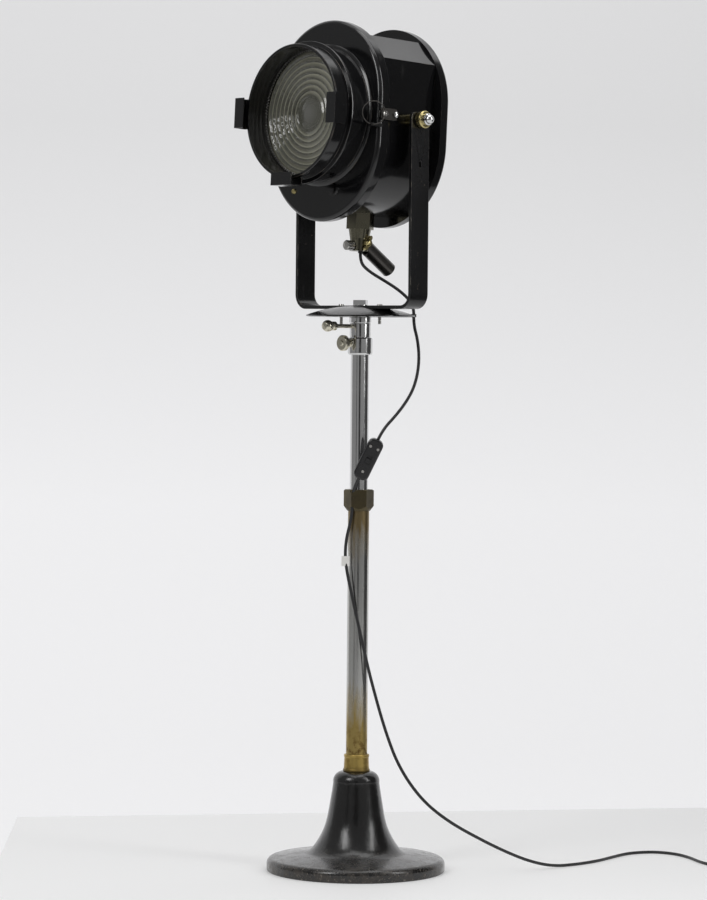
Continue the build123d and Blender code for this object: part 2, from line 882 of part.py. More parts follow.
latch_x = rim_radius + 4.3
latch_point = at_head(rim_radius, -latch_forward, latch_up)
latch_pivot_plane = turned(tuple(latch_point), (1, 0, 0), (0, 1, 0))
with BuildPart() as latch_pivot:
    with BuildSketch(latch_pivot_plane):
        with BuildLine():
            Polyline(
                (0, -7),
                (2.45, -7),
                (2.45, 0),
                (7, 0),
                (7, 4),
                (2.45, 4),
                (2.45, 4.3 + latch_sheet + gap),
                (5, 4.3 + latch_sheet + gap),
                (4.2, 4.3 + latch_sheet + 2.4),
                (0, 4.3 + latch_sheet + 2.8),
                close=True,
            )
        make_face()
    revolve(axis=spin(latch_pivot_plane))
latch_pivot.part.label = "latch_pivot"
export_step(latch_pivot.part, "parts/latch_pivot.step")

latch_plane = Plane(at_head(latch_x, -latch_forward, latch_up), x_dir=-beam, z_dir=(1, 0, 0))
with BuildPart() as latch_lever:
    with BuildSketch(latch_plane):
        with Locations((8.5, 0)):
            Rectangle(34, 18)
        fillet(vertices(), 4)
        Circle(2.5, mode=Mode.SUBTRACT)
    extrude(amount=latch_sheet)
latch_lever.part.label = "latch_lever"
export_step(latch_lever.part, "parts/latch_lever.step")

latch_tip_point = at_head(latch_x + latch_sheet, -latch_forward + 21, latch_up)
latch_tip_plane = turned(tuple(latch_tip_point), (1, 0, 0), (0, 1, 0))
with BuildPart() as latch_tip:
    with BuildSketch(latch_tip_plane):
        with BuildLine():
            Polyline(
                (0, 0),
                (3, 0),
                (3, 1),
                (4.6, 2),
                (4.4, 4),
                (3, 5.4),
                (0, 6),
                close=True,
            )
        make_face()
    revolve(axis=spin(latch_tip_plane))
latch_tip.part.label = "latch_tip"
export_step(latch_tip.part, "parts/latch_tip.step")

ring_centre = at_head(rim_radius + 1, -bezel_front - 12, latch_up)
ring_wire = 0.8
ring_radius = 18.0
ring_plane = turned(tuple(ring_centre), (0.8, -0.6, 0), (0, 0, 1))
with BuildPart() as latch_ring:
    with BuildSketch(ring_plane):
        with Locations((ring_radius, 0)):
            Circle(ring_wire)
    revolve(axis=spin(ring_plane))
latch_ring.part.label = "latch_ring"
export_step(latch_ring.part, "parts/latch_ring.step")

with BuildPart() as latch_lug:
    with BuildSketch(facing(bezel_front - 10)):
        with Locations((rim_radius - 3, latch_up - ring_radius)):
            Rectangle(7, 5)
    extrude(amount=26)
    add(door_bezel.part, mode=Mode.SUBTRACT)
    add(latch_ring.part, mode=Mode.SUBTRACT)
latch_lug.part.label = "latch_lug"
export_step(latch_lug.part, "parts/latch_lug.step")

# ---------------------------------------------------------------- cable inlet and handle

socket_top = 146.0
down = -head.z_dir
case_low = case_drop + rim_straight / 2 + case_half_width
under = Plane(at_head(0, socket_back, -socket_top), x_dir=(1, 0, 0), z_dir=down)
handle_start = at_head(0, socket_back, -188)
handle_run = Vector(0, cos(radians(handle_slope)), -sin(radians(handle_slope)))
handle_plane = Plane(handle_start, x_dir=(1, 0, 0), z_dir=handle_run)
cord_bore = cord_radius + 1.5
cord_drop_point = at_head(0, cord_exit_back, -socket_top)

with BuildPart() as handle_socket:
    with BuildSketch(under.offset(-4)):
        RegularPolygon(radius=socket_hex, side_count=6)
    extrude(amount=28)
    with BuildSketch(under.offset(24)):
        Circle(socket_radius + 3)
    extrude(amount=17, taper=10)
    with BuildSketch(under.offset(24)):
        Circle(socket_radius)
    extrude(amount=socket_bottom - socket_top - 24)
    with BuildSketch(facing(-60)):
        with Locations((0, case_half_width - case_low)):
            Circle(case_half_width)
    extrude(amount=120, mode=Mode.SUBTRACT)
    with BuildSketch(Plane(cord_drop_point, x_dir=(1, 0, 0), z_dir=down)):
        Circle(cord_bore)
    extrude(amount=80, mode=Mode.SUBTRACT)
    with BuildSketch(Plane.YZ):
        wing_point = at_head(0, socket_back, -wing_screw_drop)
        with Locations((wing_point.Y, wing_point.Z)):
            Circle(3 + fit)
    extrude(amount=socket_radius + 5, mode=Mode.SUBTRACT)
    with BuildSketch(facing(-socket_back)):
        with Locations((0, -side_screw_drop)):
            Circle(3 + fit)
    extrude(amount=socket_radius + 5, mode=Mode.SUBTRACT)
handle_socket.part.label = "handle_socket"
export_step(handle_socket.part, "parts/handle_socket.step")

with BuildPart() as handle_tube:
    with BuildSketch(handle_plane):
        Circle(handle_radius)
    extrude(amount=handle_length + socket_radius)
    tube_end = faces().sort_by(Axis(handle_start, handle_run))[-1].edges()
    fillet(tube_end, 1.2)
    with BuildSketch(handle_plane):
        Circle(handle_radius - 2.2)
    extrude(amount=handle_length + socket_radius + 1, mode=Mode.SUBTRACT)
    with BuildSketch(under.offset(5)):
        Circle(socket_radius)
    extrude(amount=90, mode=Mode.SUBTRACT)
    add(handle_socket.part, mode=Mode.SUBTRACT)
handle_tube.part.label = "handle_tube"
export_step(handle_tube.part, "parts/handle_tube.step")

side_point = at_head(0, socket_back, -side_screw_drop)
side_screw_plane = turned(tuple(side_point), tuple(beam), (1, 0, 0))
with BuildPart() as side_screw:
    with BuildSketch(side_screw_plane):
        with BuildLine():
            Polyline(
                (0, 8),
                (3, 8),
                (3, socket_radius),
                (7.2, socket_radius),
                (8, socket_radius + 1),
                (8, socket_radius + 13),
                (6.6, socket_radius + 14.5),
                (0, socket_radius + 15.5),
                close=True,
            )
        make_face()
    revolve(axis=spin(side_screw_plane))
side_screw.part.label = "side_screw"
export_step(side_screw.part, "parts/side_screw.step")

wing_plane = turned(tuple(wing_point), (1, 0, 0), (0, 1, 0))
wing_out = socket_radius + gap
with BuildPart() as wing_screw:
    with BuildSketch(wing_plane):
        with BuildLine():
            Polyline(
                (0, 7.5),
                (3, 7.5),
                (3, wing_out),
                (5, wing_out),
                (6, wing_out + 2),
                (6, wing_out + 8),
                (4, wing_out + 11),
                (0, wing_out + 11.5),
                close=True,
            )
        make_face()
    revolve(axis=spin(wing_plane))
    with BuildSketch(Plane(wing_point + Vector(wing_out + 3, 0, 0), x_dir=(0, 1, 0), z_dir=(1, 0, 0))):
        SlotOverall(26, 6, rotation=60)
    extrude(amount=4.5)
wing_screw.part.label = "wing_screw"
export_step(wing_screw.part, "parts/wing_screw.step")

grommet_top = Plane(at_head(0, cord_exit_back, -socket_bottom + 10), x_dir=(1, 0, 0), z_dir=down)
with BuildPart() as cord_grommet:
    with BuildSketch(grommet_top):
        Circle(cord_bore)
    extrude(amount=13)
    with BuildSketch(grommet_top):
        Circle(cord_radius + fit)
    extrude(amount=14, mode=Mode.SUBTRACT)
cord_grommet.part.label = "cord_grommet"
export_step(cord_grommet.part, "parts/cord_grommet.step")

# ---------------------------------------------------------------- lamp carriage and its focus screw

carriage_plane = facing(-tray_length / 2)
with BuildPart() as focus_screw:
    with BuildSketch(facing(-cover_back - 22)):
        with Locations(focus_screw_spot):
            Circle(focus_screw_radius)
    extrude(amount=cover_back + 22 + case_front - 8)
focus_screw.part.label = "focus_screw"
export_step(focus_screw.part, "parts/focus_screw.step")

with BuildPart() as focus_knob:
    with BuildSketch(facing(-cover_back - gap)):
        with Locations(focus_screw_spot):
            Circle(13)
    extrude(amount=-17)
    knob_edges = edges().filter_by(GeomType.CIRCLE).group_by(Axis(at_head(0, 0, 0), beam))[0]
    fillet(knob_edges, 2)
    with BuildSketch(facing(-cover_back - 30)):
        with Locations(focus_screw_spot):
            Circle(focus_screw_radius)
            with PolarLocations(14, 12):
                Circle(1.8)
    extrude(amount=60, mode=Mode.SUBTRACT)
focus_knob.part.label = "focus_knob"
export_step(focus_knob.part, "parts/focus_knob.step")

with BuildPart() as lamp_tray:
    with BuildSketch(carriage_plane):
        with Locations((0, -tray_drop)):
            Rectangle(rail_spacing + 14, 3)
        with Locations((0, -rail_drop)):
            with GridLocations(rail_spacing, 1, 2, 1):
                Circle(6)
        with Locations(focus_screw_spot):
            Circle(8)
        with Locations((rail_spacing / 2 + 10, -tray_drop - 8)):
            Rectangle(13, 16)
        with Locations((0, -rail_drop)):
            with GridLocations(rail_spacing, 1, 2, 1):
                Circle(rail_radius + fit, mode=Mode.SUBTRACT)
        with Locations(focus_screw_spot):
            Circle(focus_screw_radius + fit, mode=Mode.SUBTRACT)
    extrude(amount=tray_length)
lamp_tray.part.label = "lamp_tray"
export_step(lamp_tray.part, "parts/lamp_tray.step")

tray_top = head.offset(1.5 - tray_drop)
with BuildPart() as lampholder:
    with BuildSketch(tray_top):
        Circle(19)
    extrude(amount=40)
    with BuildSketch(tray_top.offset(25)):
        Circle(14)
    extrude(amount=16, mode=Mode.SUBTRACT)
    with BuildSketch(tray_top):
        with Locations((0, 14)):
            Rectangle(30, 34)
    extrude(amount=4)
    with BuildSketch(tray_top):
        with Locations((0, 29.5)):
            Rectangle(30, 3)
    extrude(amount=48)
lampholder.part.label = "lampholder"
export_step(lampholder.part, "parts/lampholder.step")

bulb_radius = 24.0
bulb_middle = 34 + (bulb_radius**2 - 11**2) ** 0.5
bulb_foot = at_head(0, 0, 1.5 - tray_drop + 25)
bulb_plane = turned(tuple(bulb_foot), tuple(head.z_dir), (1, 0, 0))
with BuildPart() as bulb:
    with BuildSketch(bulb_plane):
        with BuildLine():
            Polyline((0, 0), (13.9, 0), (13.9, 20), (11, 27), (11, 34))
            ThreePointArc((11, 34), (bulb_radius, bulb_middle), (0, bulb_middle + bulb_radius))
            Line((0, bulb_middle + bulb_radius), (0, 0))
        make_face()
    revolve(axis=spin(bulb_plane))
bulb.part.label = "bulb"
export_step(bulb.part, "parts/bulb.step")

mirror_plane = turned(at_head(0, 0, lens_rise), tuple(-beam), (1, 0, 0))
with BuildPart() as reflector:
    with BuildSketch(mirror_plane):
        with BuildLine():
            RadiusArc((0, 40), (34, 27), 52)
            RadiusArc((0, 41.5), (34, 28.5), 52)
            Line((0, 40), (0, 41.5))
            Line((34, 27), (34, 28.5))
        make_face()
    revolve(axis=spin(mirror_plane))
    with BuildSketch(head.offset(-47)):
        with Locations((0, 32.5)):
            Rectangle(14, 3)
    extrude(amount=27)
reflector.part.label = "reflector"
export_step(reflector.part, "parts/reflector.step")

# ---------------------------------------------------------------- cord, in stretches

switch_run = (switch_head - switch_foot).normalized()


def cord_bends(route):
    """The bend radii for a cord route: a share of the shorter run at each corner's turn."""
    points = [Vector(*point) for point in route]
    radii = []
    for before, corner, after in zip(points, points[1:], points[2:]):
        turn = (corner - before).get_angle(after - corner)
        shorter = min((corner - before).length, (after - corner).length)
        radii.append(0.45 * shorter / tan(radians(turn / 2)))
    return radii


head_exit = at_head(0, cord_exit_back, -socket_bottom - 3)
head_cord_route = (
    tuple(head_exit),
    tuple(head_exit + down * 15),
    (7, 13.5, 957),
    (18, 34, 944),
    (26.5, 57, 930),
    (32.4, 74, 916),
    (*tie_spot, 902),
    (*tie_spot, tie_height),
)
drop_cord_route = (
    (*tie_spot, tie_height),
    (*tie_spot, 873),
    (44.5, 84.6, 850),
    (54.6, 79, 822),
    (60.2, 70.4, 794),
    (63.6, 56.7, 768),
    (63, 39.3, 746),
    (59.2, 22.4, 727),
    tuple(switch_head + switch_run * 18),
    tuple(switch_head),
)
tail_cord_route = (
    tuple(switch_foot - switch_run),
    (*cord_hole_spot, 609),
    (*cord_hole_spot, 575),
    (3.3, -22.2, 553),
    (-2.5, -24.3, 530),
    (-4.4, -24.9, 503),
    (0.5, -24.2, 475),
    (7.8, -22, 446),
    (14.2, -18.5, 415),
    (19.5, -13.5, 384),
    (24, -7.4, 352),
    (28, -0.1, 318),
    (33.4, 7.1, 285),
    (40.9, 13.8, 250),
    (51.7, 19.8, 214),
    (66.3, 26.2, 177),
    (86, 37, 142),
    (106.5, 55.5, 110),
    (130, 86, 81),
    (153.5, 127.5, 54.5),
    (170.5, 171, 31.5),
    (181, 215, 13.5),
    (190.5, 258, 3),
    (197.5, 306, 2.5),
    (195, 358, 2.5),
    (181, 409, 2.5),
    (169, 461, 2.5),
    (186, 504, 2.5),
    (226, 514, 2.5),
    (268, 501, 2.5),
    (300, 483, 2.5),
    (332, 470, 2.5),
    (368.5, 472, 2.5),
)


def describe(name, route):
    """Prints a stretch of cord's length of points and its bend radii."""
    points = [Vector(*point) for point in route]
    along = sum((after - before).length for before, after in zip(points, points[1:]))
    bends = [round(radius) for radius in cord_bends(route)]
    print(name, "length of its straight runs", round(along), "bend radii", bends)


describe("cord_head", head_cord_route)
with BuildPart() as cord_head:
    with BuildLine():
        head_line = FilletPolyline(*head_cord_route, radius=cord_bends(head_cord_route))
    with BuildSketch(Plane(head_line @ 0, z_dir=head_line % 0)):
        Circle(cord_radius)
    sweep()
print("cord_head volume over section", round(cord_head.part.volume / (pi * cord_radius**2), 1))
print("cord_head line", round(head_line.length, 1))
cord_head.part.label = "cord_head"
export_step(cord_head.part, "parts/cord_head.step")

describe("cord_drop", drop_cord_route)
with BuildPart() as cord_drop:
    with BuildLine():
        drop_line = FilletPolyline(*drop_cord_route, radius=cord_bends(drop_cord_route))
    with BuildSketch(Plane(drop_line @ 0, z_dir=drop_line % 0)):
        Circle(cord_radius)
    sweep()
print("cord_drop volume over section", round(cord_drop.part.volume / (pi * cord_radius**2), 1))
print("cord_drop line", round(drop_line.length, 1))
cord_drop.part.label = "cord_drop"
export_step(cord_drop.part, "parts/cord_drop.step")

describe("cord_tail", tail_cord_route)
with BuildPart() as cord_tail:
    with BuildLine():
        tail_line = FilletPolyline(*tail_cord_route, radius=cord_bends(tail_cord_route))
    with BuildSketch(Plane(tail_line @ 0, z_dir=tail_line % 0)):
        Circle(cord_radius)
    sweep()
print("cord_tail volume over section", round(cord_tail.part.volume / (pi * cord_radius**2), 1))
print("cord_tail line", round(tail_line.length, 1))
cord_tail.part.label = "cord_tail"
export_step(cord_tail.part, "parts/cord_tail.step")

with BuildPart() as cord_coil:
    with BuildSketch(Plane.XY):
        with Locations(coil_spot):
            Circle(coil_outer)
            Circle(coil_inner, mode=Mode.SUBTRACT)
    extrude(amount=coil_height)
    fillet(edges().filter_by(GeomType.CIRCLE), 2.4)
    with BuildSketch(Plane.XZ.offset(-coil_spot[1])):
        with Locations((plug_spot[0], coil_height - cord_radius)):
            Circle(cord_radius)
    extrude(amount=coil_spot[1] - plug_spot[1] + plug_length / 2)
cord_coil.part.label = "cord_coil"
export_step(cord_coil.part, "parts/cord_coil.step")

# ---------------------------------------------------------------- plug and tag

with BuildPart() as plug_body:
    with BuildSketch(Plane.XY):
        with Locations(plug_spot):
            Rectangle(24, plug_length)
    extrude(amount=14)
    fillet(edges().filter_by(Axis.Z), 5)
    fillet(edges().group_by(Axis.Z)[-1], 3)
plug_body.part.label = "plug_body"
export_step(plug_body.part, "parts/plug_body.step")

with BuildPart() as plug_pins:
    with BuildSketch(Plane.XZ.offset(-plug_spot[1] - plug_length / 2)):
        with Locations((plug_spot[0], 7)):
            with GridLocations(12.7, 1, 2, 1):
                Circle(2)
    extrude(amount=-18)
plug_pins.part.label = "plug_pins"
export_step(plug_pins.part, "parts/plug_pins.step")

tag_spot = Vector(-4.4, -24.9, 503) + Vector(0.73, -0.68, 0) * (cord_radius - 0.2)
with BuildPart() as cord_tag:
    with BuildSketch(Plane(origin=tag_spot, x_dir=(0.68, 0.73, 0), z_dir=(0.73, -0.68, 0))):
        with Locations((1, -8)):
            Rectangle(13, 16)
    extrude(amount=0.6)
cord_tag.part.label = "cord_tag"
export_step(cord_tag.part, "parts/cord_tag.step")

# ---------------------------------------------------------------- switch in the cord

switch_across = Vector(cos(radians(47)), sin(radians(47)), 0)
switch_across = (switch_across - switch_run * switch_across.dot(switch_run)).normalized()
switch_out = switch_across.cross(switch_run)
switch_length = (switch_head - switch_foot).length
switch_plane = Plane((switch_head + switch_foot) / 2, x_dir=switch_across, z_dir=switch_out)

with BuildPart() as switch_front:
    with BuildSketch(switch_plane):
        RectangleRounded(switch_width, switch_length, switch_corner)
    extrude(amount=switch_half)
    front_rim = faces().sort_by(Axis(switch_plane.origin, switch_out))[-1].edges()
    fillet(front_rim, 3)
    with BuildSketch(switch_plane.offset(switch_half - 3)):
        Rectangle(8.6, 14)
    extrude(amount=5, mode=Mode.SUBTRACT)
switch_front.part.label = "switch_front"
export_step(switch_front.part, "parts/switch_front.step")

with BuildPart() as switch_back:
    with BuildSketch(switch_plane):
        RectangleRounded(switch_width, switch_length, switch_corner)
    extrude(amount=1 - switch_half)
    back_rim = faces().sort_by(Axis(switch_plane.origin, -switch_out))[-1].edges()
    fillet(back_rim, 3)
switch_back.part.label = "switch_back"
export_step(switch_back.part, "parts/switch_back.step")

with BuildPart() as switch_screws:
    with BuildSketch(switch_plane.offset(switch_half)):
        with Locations((-6.5, 21), (6.5, 21), (0, -21)):
            Circle(2.2)
    extrude(amount=1)
switch_screws.part.label = "switch_screws"
export_step(switch_screws.part, "parts/switch_screws.step")

slider_travel = 5.0
with BuildPart() as switch_slider:
    with BuildSketch(switch_plane.offset(switch_half - 3 + 0.05)):
        with Locations((0, -slider_travel / 2)):
            RectangleRounded(8, 8, 1)
    extrude(amount=4.4)
switch_slider.part.label = "switch_slider"
export_step(switch_slider.part, "parts/switch_slider.step")
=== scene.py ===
"""The looks of the stage spotlight floor lamp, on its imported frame. Metres, +Z up."""

from math import cos, pi, radians, sin

import bpy
from mathutils import Matrix, Vector


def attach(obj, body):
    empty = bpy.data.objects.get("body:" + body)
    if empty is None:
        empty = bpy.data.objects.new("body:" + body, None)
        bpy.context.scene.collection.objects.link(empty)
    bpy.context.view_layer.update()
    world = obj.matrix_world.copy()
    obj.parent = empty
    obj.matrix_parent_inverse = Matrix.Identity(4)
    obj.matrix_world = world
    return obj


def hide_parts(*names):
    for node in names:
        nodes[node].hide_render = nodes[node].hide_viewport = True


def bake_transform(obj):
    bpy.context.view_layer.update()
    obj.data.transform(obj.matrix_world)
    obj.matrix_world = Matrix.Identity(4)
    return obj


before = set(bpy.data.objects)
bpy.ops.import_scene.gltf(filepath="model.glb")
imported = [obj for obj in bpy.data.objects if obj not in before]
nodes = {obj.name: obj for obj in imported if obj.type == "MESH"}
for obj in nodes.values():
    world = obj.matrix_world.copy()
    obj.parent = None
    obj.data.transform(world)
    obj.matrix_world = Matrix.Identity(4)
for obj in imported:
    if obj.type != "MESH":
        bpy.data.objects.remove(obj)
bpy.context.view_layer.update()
scene = bpy.context.scene

# ---------------------------------------------------------------- camera

CAMERA_DISTANCE = 5.5
CAMERA_HEIGHT = 0.85
CAMERA_TURN = radians(47)
CAMERA_ROLL = radians(0.5)
CAMERA_SPOT = Vector(
    (CAMERA_DISTANCE * sin(CAMERA_TURN), -CAMERA_DISTANCE * cos(CAMERA_TURN), CAMERA_HEIGHT)
)
LOOK = Vector((-sin(CAMERA_TURN), cos(CAMERA_TURN), 0))
RIGHT = Vector((cos(CAMERA_TURN), sin(CAMERA_TURN), 0))

camera_data = bpy.data.cameras.new("camera")
camera_data.sensor_fit = "VERTICAL"
camera_data.sensor_height = 24
camera_data.lens = 91.65
camera_data.shift_x = -0.0074
camera_data.shift_y = -0.1236
camera = bpy.data.objects.new("camera", camera_data)
camera.matrix_world = (
    Matrix.Translation(CAMERA_SPOT)
    @ Matrix.Rotation(CAMERA_TURN, 4, "Z")
    @ Matrix.Rotation(radians(90), 4, "X")
    @ Matrix.Rotation(CAMERA_ROLL, 4, "Z")
)
scene.collection.objects.link(camera)
scene.camera = camera

# ---------------------------------------------------------------- the lamp head's own axes

TILT = radians(2.9)
HEAD_UP = Vector((0, sin(TILT), cos(TILT)))
BEAM = Vector((0, -cos(TILT), sin(TILT)))
PIVOT = Vector((0, 0, 1.195))


def at_head(right, ahead, up):
    """A point of the lamp head in millimetres from the middle of its tilt axis, as metres."""
    return PIVOT + Vector((right, 0, 0)) / 1000 + BEAM * ahead / 1000 + HEAD_UP * up / 1000


# The lens. LENS_RISE is in millimetres and the rest in metres. The rings of painted highlight on it end
# about 2 mm inside the edge of the CAD solid.
LENS_RISE = 4
LENS_BULL_EYE = 0.027
LENS_EDGE = 0.099
LENS_RIDGES = 8

# ---------------------------------------------------------------- materials


class Shade:
    """A procedural material under construction. Its patterns sit in the object's own space."""

    def __init__(self, name, color, rough, metal=0.0, **inputs):
        self.material = bpy.data.materials.new(name)
        self.material.use_nodes = True
        self.tree = self.material.node_tree
        self.shader = self.tree.nodes["Principled BSDF"]
        self.space = self.tree.nodes.new("ShaderNodeTexCoord").outputs["Object"]
        self.set("Base Color", (*color, 1))
        self.set("Roughness", rough)
        self.set("Metallic", metal)
        for key, value in inputs.items():
            self.set(key.replace("_", " "), value)

    def set(self, socket, value):
        self.shader.inputs[socket].default_value = value

    def link(self, source, socket):
        self.tree.links.new(source, socket)

    def node(self, kind, **values):
        made = self.tree.nodes.new(kind)
        for key, value in values.items():
            made.inputs[key].default_value = value
        return made

    def noise(self, scale, low=0.0, high=1.0, detail=4.0, rough=0.55, stretch=(1, 1, 1)):
        """A cloud of values: 0 below low, 1 above high."""
        where = self.node("ShaderNodeMapping", Scale=stretch)
        self.link(self.space, where.inputs["Vector"])
        cloud = self.node("ShaderNodeTexNoise", Scale=scale, Detail=detail, Roughness=rough)
        self.link(where.outputs[0], cloud.inputs["Vector"])
        return self.spread(cloud.outputs["Fac"], low, high)

    def spread(self, source, low, high, to_low=0.0, to_high=1.0):
        ramp = self.node("ShaderNodeMapRange")
        for socket, value in zip(ramp.inputs[1:5], (low, high, to_low, to_high)):
            socket.default_value = value
        self.link(source, ramp.inputs[0])
        return ramp.outputs[0]

    def along(self, axis, low, high):
        """Rises from 0 to 1 between two places on an axis."""
        parts = self.node("ShaderNodeSeparateXYZ")
        self.link(self.space, parts.inputs[0])
        return self.spread(parts.outputs[axis], low, high)

    def from_axis(self, origin, along):
        """The distance from a line, in metres."""
        away = self.node("ShaderNodeVectorMath")
        away.operation = "SUBTRACT"
        self.link(self.space, away.inputs[0])
        away.inputs[1].default_value = origin
        across = self.node("ShaderNodeVectorMath")
        across.operation = "CROSS_PRODUCT"
        self.link(away.outputs[0], across.inputs[0])
        across.inputs[1].default_value = along
        length = self.node("ShaderNodeVectorMath")
        length.operation = "LENGTH"
        self.link(across.outputs[0], length.inputs[0])
        return length.outputs["Value"]

    def maths(self, operation, first, second):
        made = self.node("ShaderNodeMath")
        made.operation = operation
        made.use_clamp = True
        for socket, value in zip(made.inputs, (first, second)):
            if isinstance(value, (int, float)):
                socket.default_value = value
            else:
                self.link(value, socket)
        return made.outputs[0]

    def blend(self, socket, factor, other):
        """Mixes another value into one of the shader's inputs where the factor is high."""
        target = self.shader.inputs[socket]
        is_color = target.type == "RGBA"
        made = self.tree.nodes.new("ShaderNodeMix")
        made.data_type = "RGBA" if is_color else "FLOAT"
        first, second = (6, 7) if is_color else (2, 3)
        if target.is_linked:
            self.link(target.links[0].from_socket, made.inputs[first])
        else:
            made.inputs[first].default_value = target.default_value
        made.inputs[second].default_value = (*other, 1) if is_color else other
        self.link(factor, made.inputs[0])
        self.link(made.outputs[2 if is_color else 0], target)
        return self

    def patch(self, factor, color=None, rough=None, metal=None):
        if color is not None:
            self.blend("Base Color", factor, color)
        if rough is not None:
            self.blend("Roughness", factor, rough)
        if metal is not None:
            self.blend("Metallic", factor, metal)
        return self

    def bump(self, height, depth, strength=1.0):
        made = self.node("ShaderNodeBump", Strength=strength, Distance=depth)
        self.link(height, made.inputs["Height"])
        before = self.shader.inputs["Normal"]
        if before.is_linked:
            self.link(before.links[0].from_socket, made.inputs["Normal"])
        self.link(made.outputs[0], self.shader.inputs["Normal"])
        return self


def enamel(name, rough, worn, chips):
    """Black paint on sheet steel, with cloudy gloss, a little dust and chips down to the metal."""
    shade = Shade(name, (0.0045, 0.0045, 0.005), rough, Coat_Weight=0.15, Coat_Roughness=0.08)
    shade.patch(shade.noise(9, 0.40, 0.80), rough=rough + 0.09)
    shade.patch(shade.noise(420, 0.745, 0.785, detail=2), color=(0.045, 0.042, 0.04), rough=0.5)
    smears = shade.noise(70, 0.64, 0.74, stretch=(1, 1, 0.25))
    shade.patch(smears, color=(0.009, 0.009, 0.009), rough=rough + 0.12)
    if chips:
        spots = shade.noise(130, 0.715 - chips, 0.725 - chips, detail=6, rough=0.65)
        shade.patch(spots, color=(0.12, 0.095, 0.075), rough=0.5, metal=0.6)
    if worn:
        shade.patch(shade.noise(45, 0.50, 0.66, detail=5), color=worn, rough=0.38, metal=0.7)
    shade.bump(shade.noise(900, detail=2), 0.00006, 0.2)
    return shade.material


def polished(name, color, rough, stains=0.5):
    """Plated or bare metal with faint stains and fine marks."""
    shade = Shade(name, color, rough, 1.0)
    shade.patch(shade.noise(38, 0.45, 0.85, detail=6), rough=rough + 0.16)
    dull = tuple(channel * (1 - stains * 0.6) for channel in color)
    shade.patch(shade.noise(85, 0.60, 0.74, detail=6, rough=0.7), color=dull, rough=rough + 0.22)
    shade.bump(shade.noise(600, detail=3), 0.00005, 0.3)
    return shade.material


def plain(name, color, rough, **inputs):
    shade = Shade(name, color, rough, **inputs)
    shade.patch(shade.noise(60, 0.4, 0.8), rough=min(1, rough + 0.12))
    return shade.material


BLACK = enamel("black_enamel", 0.13, None, 0.0)
BLACK_EDGE = enamel("black_enamel_edge", 0.20, (0.10, 0.085, 0.07), 0.02)
YOKE = enamel("yoke_paint", 0.24, None, 0.03)
YOKE_EDGE = enamel("yoke_paint_edge", 0.30, (0.22, 0.20, 0.17), 0.05)
CHROME = polished("chrome", (0.68, 0.68, 0.68), 0.09)
STEEL = polished("steel", (0.46, 0.45, 0.43), 0.26)
DARK_STEEL = polished("dark_steel", (0.085, 0.08, 0.075), 0.30)
BRASS = polished("brass", (0.52, 0.44, 0.21), 0.24, 0.8)
SOCKET = polished("socket_bronze", (0.16, 0.15, 0.11), 0.24)
SCREW_HUB = polished("chrome_worn", (0.60, 0.57, 0.47), 0.16)
PLASTIC = plain("black_plastic", (0.012, 0.012, 0.013), 0.20)
RUBBER = plain("cord_rubber", (0.018, 0.018, 0.019), 0.42)
CARD = plain("white_card", (0.78, 0.77, 0.74), 0.6)
CERAMIC = plain("ceramic", (0.72, 0.70, 0.66), 0.25)
MIRROR = polished("reflector", (0.85, 0.85, 0.85), 0.08, 0.1)
BULB = plain("bulb_glass", (0.95, 0.95, 0.93), 0.05, Transmission_Weight=0.9)


def bronze_material():
    shade = Shade("bronze", (0.10, 0.082, 0.045), 0.34, 0.85)
    shade.patch(shade.noise(50, 0.40, 0.75, detail=5), color=(0.055, 0.045, 0.03), rough=0.46)
    shade.patch(shade.noise(160, 0.68, 0.76, detail=4), color=(0.20, 0.16, 0.09), rough=0.3)
    shade.bump(shade.noise(350, detail=3), 0.0002, 0.35)
    return shade.material


def lower_tube_material():
    """Chrome that has worn through to brass under the clamp nut and above the ferrule."""
    shade = Shade("worn_chrome", (0.50, 0.50, 0.485), 0.15, 1.0)
    shade.patch(shade.noise(30, 0.40, 0.80, detail=6, stretch=(1, 1, 0.3)), rough=0.30)
    shade.patch(shade.noise(120, 0.60, 0.72, detail=6, rough=0.7), color=(0.33, 0.32, 0.30), rough=0.36)
    streaks = shade.noise(95, 0.25, 0.75, detail=5, rough=0.65, stretch=(1, 1, 0.16))
    for low, high, color in (
        (0.47, 0.575, (0.20, 0.15, 0.075)),
        (0.335, 0.195, (0.34, 0.25, 0.085)),
    ):
        reach = shade.along(2, low, high)
        patchy = shade.maths("MULTIPLY", streaks, 0.5)
        worn = shade.maths("ADD", patchy, shade.maths("MULTIPLY", reach, 0.8))
        worn = shade.maths("MULTIPLY", shade.spread(worn, 0.40, 0.85), shade.spread(reach, 0.0, 0.3))
        shade.patch(worn, color=color, rough=0.34, metal=0.85)
    low_dark = shade.maths("MULTIPLY", shade.along(2, 0.24, 0.19), shade.noise(80, 0.5, 0.62, detail=5))
    shade.patch(low_dark, color=(0.13, 0.075, 0.02), rough=0.5)
    shade.bump(shade.noise(500, detail=3), 0.00006, 0.3)
    return shade.material


def ferrule_material():
    shade = Shade("old_brass", (0.46, 0.33, 0.10), 0.28, 0.9)
    shade.patch(shade.noise(60, 0.45, 0.65, detail=5), color=(0.27, 0.18, 0.05), rough=0.4)
    # Painted shade: the ferrule turns dark towards its foot, from 168 mm height down.
    shade.patch(shade.along(2, 0.168, 0.158), color=(0.06, 0.04, 0.015), rough=0.5)
    shade.bump(shade.noise(300, detail=3), 0.0001, 0.4)
    return shade.material


